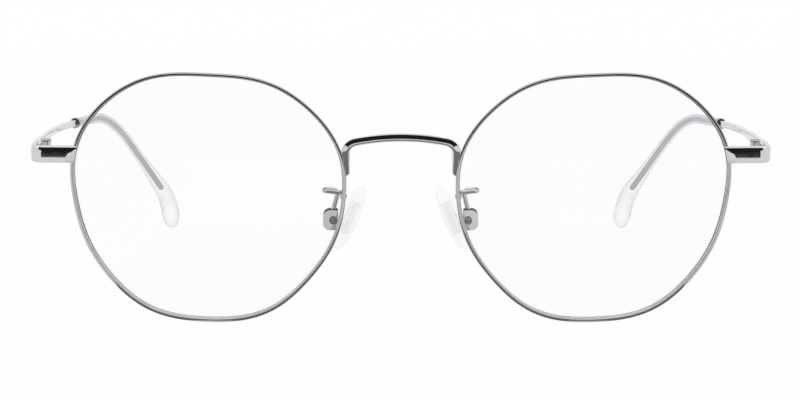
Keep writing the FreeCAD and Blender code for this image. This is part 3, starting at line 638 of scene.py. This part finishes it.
# The bar's height falls evenly from the butt to the shoulder's end, steps down to the wire, and
# the thickness stays. The butt face is square to the end piece, so the first row is cut there.
def templeGrid():
    t = temple
    shoulderEnd = frontRun - t["shoulderGap"]
    last = t["length"] - t["coreMargin"]
    places = np.concatenate([
        np.linspace(0.0, shoulderEnd, 90), shoulderEnd + np.linspace(0.05, 1, 12) * t["step"],
        np.linspace(shoulderEnd + t["step"] + 0.3, last - t["coreEnd"], 260),
        last - t["coreEnd"] + t["coreEnd"] * np.sin(np.linspace(0.2, 1.45, 7)),
    ])
    mouth = last + t["coreMargin"] - tip["length"]
    marks = {
        0.0: t["butt"], t["shoulderStart"]: t["butt"], shoulderEnd: t["shoulder"],
        shoulderEnd + t["step"]: wire["height"], mouth: wire["height"],
        mouth + wire["step"]: wire["core"],
    }
    heights = np.interp(places, list(marks), list(marks.values()))
    closing = roundedEnd((places - last + t["coreEnd"]) / t["coreEnd"], 0.01)
    outline = roundedOutline(1.0, 1.0, 3.6, 40)
    sizes = np.stack([wire["thickness"] * closing, heights * closing], -1)
    points, tangents = along(places)
    grid = carry(points, tangents, outline[None] * sizes[:, None])
    c, s = polar(temple["down"])
    grid[0, :, 1] = (temple["gap"] - grid[0, :, 2] * s) / c
    return frontFromTemple(grid), np.clip((places - mouth) / (last - mouth), 0, 1) ** 1.2


grid, reach = templeGrid()
for side, grid in bothSides(grid):
    dress(surface("templeWire_" + side, grid, sharp=35, reach=reach), "temple_" + side,
          "frame_metal", templeSilver, "temple_" + side)


# The tip's outline is an ellipse. Its two sizes grow evenly from the mouth to the ear bend, swell
# to the paddle as share cubed times (4 - 3 share), and close at the end as a quarter circle.
def tipSizes(places):
    bend = temple["length"] - temple["endRun"] - bendRadii[2] * bendTurns[2] - temple["tipRun"]
    first, widest = temple["length"] - tip["length"], temple["length"] - tip["end"]
    early = np.clip((places - first) / (bend - first), 0, 1)[:, None]
    share = np.clip((places - bend) / (widest - bend), 0, 1)[:, None]
    closing = roundedEnd((places - widest) / tip["end"])[:, None]
    mouth, slim, wide = (np.array(tip[key])[::-1] for key in ("mouth", "slim", "wide"))
    swell = share**3 * (4 - 3 * share)
    return (mouth + (slim - mouth) * early + (wide - slim) * swell) * closing


def tipGrid():
    first, widest = temple["length"] - tip["length"], temple["length"] - tip["end"]
    places = np.concatenate([np.linspace(first, widest, 220)[:-1],
                             widest + tip["end"] * np.sin(np.linspace(0, 1.53, 26))])
    sizes = tipSizes(places)
    shrink = np.ones(len(places))
    shrink[:3] = [0.72, 0.92, 0.985]  # the mouth's rounded lip
    points, tangents = along(places)
    outline = roundedOutline(1.0, 1.0, 2.0, 48)
    grid = carry(points, tangents, outline[None] * (sizes * shrink[:, None])[:, None])
    return frontFromTemple(grid), (places - first) / tip["length"]


grid, reach = tipGrid()
for side, grid in bothSides(grid):
    dress(surface("templeTip_" + side, grid, sharp=60, reach=reach), "temple_" + side, "clear_tip",
          tipPlastic, "temple_tip_" + side)


# A short oval tube over the wire: outside, rounded lip, bore and back again.
def collarGrid():
    last = temple["length"] - tip["length"]
    outer = np.array(tip["mouth"])[::-1] + 2 * collar["wall"]
    bore = np.array([wire["thickness"], wire["height"]]) + 2 * tip["core"]
    lip = collar["lip"]
    rows = [(0.0, bore), (0.0, outer - 2 * lip), (lip * 0.3, outer - 0.6 * lip), (lip, outer),
            (collar["length"] - lip, outer), (collar["length"] - lip * 0.3, outer - 0.6 * lip),
            (collar["length"], outer - 2 * lip), (collar["length"], bore)]
    places = last - collar["length"] + np.array([row[0] for row in rows])
    points, tangents = along(places)
    outline = roundedOutline(1.0, 1.0, 2.0, 48)
    sizes = np.array([row[1] for row in rows])
    return frontFromTemple(carry(points, tangents, outline[None] * sizes[:, None]))


for side, grid in bothSides(collarGrid()):
    dress(surface("templeCollar_" + side, grid, ringRows=True, sharp=50), "temple_" + side,
          "collar_metal", darkBand, "temple_collar_" + side)
print("temples done")

arm = dict(
    radius=0.42, rootRise=0.3, embed=0.3, bend=0.8, reachBack=3.3, rootLean=0.2, loopOut=3.55,
    loopBack=1.1, loopRise=0.15, legInset=0.95, solder=0.28, solderReach=1.1,
)
padBox = dict(height=3.8, wall=0.45)
pad = dict(
    length=12.8, width=7.0, thickness=1.6, face=0.8, edge=0.2, crown=0.28, inset=3.0, lift=0.3,
    frontal=26.0, splay=22.0,
)
screwInFrame = np.array(joints["pad_rock_left"]["pos_m"]) / millimetre
screwInFront = turn(screwInFrame - frontMiddle, -lean, "X")


# A round wire: root in the rim, back, out behind the lens, round the hairpin and down to the box.
def armGrid():
    a = arm
    u = wallAt(rimOutside - rim["thickness"] / 2, a["rootRise"], -1)
    root = frontFromEye(domePoint(np.array([u, a["rootRise"]]), 0.0))
    root = root + [0, rim["depth"] / 2 - a["embed"], 0]
    first = root + [a["rootLean"], a["embed"] + a["reachBack"], 0]
    out = np.array([root[0] + a["loopOut"], first[1] + a["loopBack"], root[2] + a["loopRise"]])
    x, y, z = screwInFront
    corners = [root, first, out, (out[0], y, out[2]), (x - a["legInset"], y, root[2]),
               (x, y, z + padBox["height"] / 2 - padBox["wall"] / 2)]
    path, tangents = bentPath(corners, [a["bend"]] * 4, 0.12)
    side = np.cross(tangents, [0.31, 0.22, 0.925])
    side /= np.linalg.norm(side, axis=1, keepdims=True)
    lift = np.cross(side, tangents)
    angles = 2 * np.pi * np.arange(24) / 24
    ring = side[:, None] * np.cos(angles)[:, None] + lift[:, None] * np.sin(angles)[:, None]
    # A small fillet of solder swells the root: it falls away as the fourth power of the distance.
    near = np.clip(1 - lengthsAlong(path) / a["solderReach"], 0, 1)
    swell = a["radius"] + a["solder"] * near**4
    return path[:, None] + ring * swell[:, None, None]


for side, grid in bothSides(armGrid()):
    dress(surface("padArm_" + side, grid), "front", "frame_metal", shadedArmSilver, "pad_arm_" + side)


# The pad is an ellipse in outline. From the rim to the middle its face rises as a quarter
# ellipse, crowned on both sides, so its rows run from the nose side's pole to the rear's.
def padGrid():
    p = pad
    edgeRows = 1 - p["edge"] * (1 - np.sin(np.linspace(0, 1.5, 14)))
    lift = np.concatenate([np.linspace(0.02, p["face"], 16), edgeRows])
    height = np.where(lift <= p["face"], 1 - p["crown"] * (lift / p["face"]) ** 2,
                      (1 - p["crown"]) * roundedEnd((lift - p["face"]) / (p["edge"] + 0.0001)))
    share = np.concatenate([lift, lift[::-1]])
    level = np.concatenate([-height, height[::-1]]) * p["thickness"] / 2
    angles = 2 * np.pi * np.arange(72) / 72
    # The lower end is fuller than the upper one.
    fuller = 1 - 0.07 * np.sin(angles)
    across = p["width"] / 2 * np.cos(angles) * fuller * share[:, None]
    upward = p["length"] / 2 * np.sin(angles) * share[:, None]
    grid = np.stack([np.broadcast_to(level[:, None], across.shape), across, upward], -1)
    turned = turn(turn(grid, -p["frontal"], "Y"), -p["splay"], "Z")
    return turned + screwInFront + [-p["inset"], 0, p["lift"]]


for side, grid in bothSides(padGrid()):
    dress(surface("nosePad_" + side, grid, sharp=60), "nose_pad_" + side, "clear_pad", padSilicone,
          "nose_pad_" + side)
print("nose pads done")

# The small fittings keep their shape and get their finish.
finishes = {
    "closing_block_upper": silver, "closing_block_lower": silver, "front_hinge_leaf": silver,
    "temple_hinge_leaf": silver, "pad_box": shadedArmSilver, "rim_screw": screwSteel,
    "hinge_screw": screwSteel, "pad_screw": shadeSteel, "pad_insert": insertPlastic,
}
for start, material in finishes.items():
    for side in ("left", "right"):
        node = frame["nodes"][f"{start}_{side}"]
        node.data.materials.clear()
        node.data.materials.append(material)

# Each card has its tone, its left and right edge, how far ahead its lower and upper edge stand,
# and their heights: a wide band, a leg before each end piece, and one on the floor.
look = dict(
    distance=1.0, elevation=7.4, azimuth=0.4, roll=0.1, lens=242.9, shift=(-0.00125, -0.00088),
    floorInMetal=0.52, roomInMetal=0.88, worldLight=0.80, darkLow=-0.03, darkHigh=0.45,
    floorTone=0.80, floorNear=0.955, floorFar=0.995, floorSize=4.0,
    cards=(
        (0.012, -0.17, 0.17, 0.119, 0.119, 0.015, 0.09),
        (0.012, 0.0632, 0.098, 0.112, 0.112, 0.0, 0.018),
        (0.012, -0.098, -0.0632, 0.112, 0.112, 0.0, 0.018),
        (0.20, -0.058, 0.058, -0.003, 0.05, 0.0004, 0.0004),
    ),
    lamps=(
        ("overhead", (0.0, -0.1, 1.3), 1.2, 1.0),
        ("leftSide", (-1.0, -0.5, 0.7), 0.8, 0.5),
        ("rightSide", (1.0, -0.5, 0.7), 0.8, 0.5),
    ),
)
middle = Vector(frontMiddle * millimetre)


def stageSheet(name, corners, material):
    mesh = bpy.data.meshes.new(name)
    mesh.from_pydata(corners, [], [(0, 1, 2, 3)])
    mesh.materials.append(material)
    sheet = bpy.data.objects.new(name, mesh)
    bpy.context.scene.collection.objects.link(sheet)
    return sheet


def stageFloor():
    # White to the eye and in part to the metal; the share that is left takes the shadow.
    material, paint, place = newMaterial("paleFloor")
    camera, glossy, through = paint.rays("Is Camera Ray", "Is Glossy Ray", "Is Transmission Ray")
    seen = camera.math("MAXIMUM", camera, through)
    seen = seen.math("MAXIMUM", seen, glossy * look["floorInMetal"])
    away = paint.number("ShaderNodeVectorMath", {"operation": "LENGTH"}, {0: place}, "Value")
    near, far, tone = look["floorNear"], look["floorFar"], look["floorTone"]
    share = away.ease(0.12, 0.5) * (far - near) + near
    diffuse = paint.add("ShaderNodeBsdfDiffuse", None, {"Color": (tone, tone, tone, 1)})
    white = paint.add("ShaderNodeEmission", None, {"Color": (1, 1, 1, 1), "Strength": 1.0})
    shader = paint.add("ShaderNodeMixShader", None, {0: seen * share, 1: diffuse, 2: white})
    paint.add("ShaderNodeOutputMaterial", None, {"Surface": shader})
    size, low = look["floorSize"], -0.00005
    corners = [(-size, -size, low), (size, -size, low), (size, size, low), (-size, size, low)]
    stageSheet("floor", corners, material)


def darkCard(number, tone, left, right, near, far, low, high):
    # Stands in front, out of the camera's sight, and gives the metal something dark to reflect.
    material, paint, _ = newMaterial(f"cardTone{number}")
    colour = {"Color": (tone, tone, tone, 1), "Strength": 1.0}
    shader = paint.add("ShaderNodeEmission", None, colour)
    paint.add("ShaderNodeOutputMaterial", None, {"Surface": shader})
    front, back = middle.y - near, middle.y - far
    corners = [(left, front, low), (right, front, low), (right, back, high), (left, back, high)]
    card = stageSheet(f"darkCard{number}", corners, material)
    for kind in ("camera", "diffuse", "transmission", "shadow", "volume_scatter"):
        setattr(card, "visible_" + kind, False)


def makeWorld():
    world = bpy.data.worlds.new("studio")
    world.use_nodes = True
    bpy.context.scene.world = world
    paint = Paint(world.node_tree)
    x, y, z = paint.parts(paint.add("ShaderNodeTexCoord", output="Generated"))
    # Dark in front, from the level up to where the overhead light begins, and not at the sides.
    dark = z.ease(look["darkLow"], 0.03) * (1 - z.ease(look["darkHigh"] - 0.12, look["darkHigh"]))
    dark = dark * (1 - y.ease(-0.80, -0.35)) * (1 - x.math("ABSOLUTE", x).ease(0.35, 0.75))
    bright = look["roomInMetal"]
    room = paint.mixColour(dark, (bright, bright, bright, 1), (0.015, 0.015, 0.016, 1))
    glossy, diffuse = paint.rays("Is Glossy Ray", "Is Diffuse Ray")
    level = look["worldLight"]
    colour = paint.mixColour(glossy, (1, 1, 1, 1), room)
    colour = paint.mixColour(diffuse, colour, (level, level, level, 1))
    background = paint.add("ShaderNodeBackground", None, {"Color": colour, "Strength": 1.0})
    paint.add("ShaderNodeOutputWorld", None, {"Surface": background})


def softLight(name, place, size, power):
    lamp = bpy.data.lights.new(name, "AREA")
    lamp.shape, lamp.size, lamp.energy = "SQUARE", size, power
    holder = bpy.data.objects.new(name, lamp)
    holder.location = place
    holder.rotation_euler = (middle - Vector(place)).to_track_quat("-Z", "Y").to_euler()
    holder.visible_camera = False
    bpy.context.scene.collection.objects.link(holder)


def makeCamera():
    camera = bpy.data.cameras.new("camera")
    camera.sensor_width, camera.lens = 36.0, look["lens"]
    camera.clip_start, camera.clip_end = 0.05, 20.0
    camera.shift_x, camera.shift_y = look["shift"]
    holder = bpy.data.objects.new("camera", camera)
    (ce, se), (ca, sa) = polar(look["elevation"]), polar(look["azimuth"])
    forward = Vector((sa * ce, ca * ce, -se))
    holder.location = middle - forward * look["distance"]
    holder.rotation_euler = forward.to_track_quat("-Z", "Y").to_euler()
    holder.rotation_euler.rotate_axis("Z", math.radians(look["roll"]))
    bpy.context.scene.collection.objects.link(holder)
    bpy.context.scene.camera = holder


stageFloor()
for number, card in enumerate(look["cards"]):
    darkCard(number, *card)
makeWorld()
for lamp in look["lamps"]:
    softLight(*lamp)
makeCamera()
bpy.context.scene.view_settings.view_transform = "Standard"
print("stage, lights and camera ready")
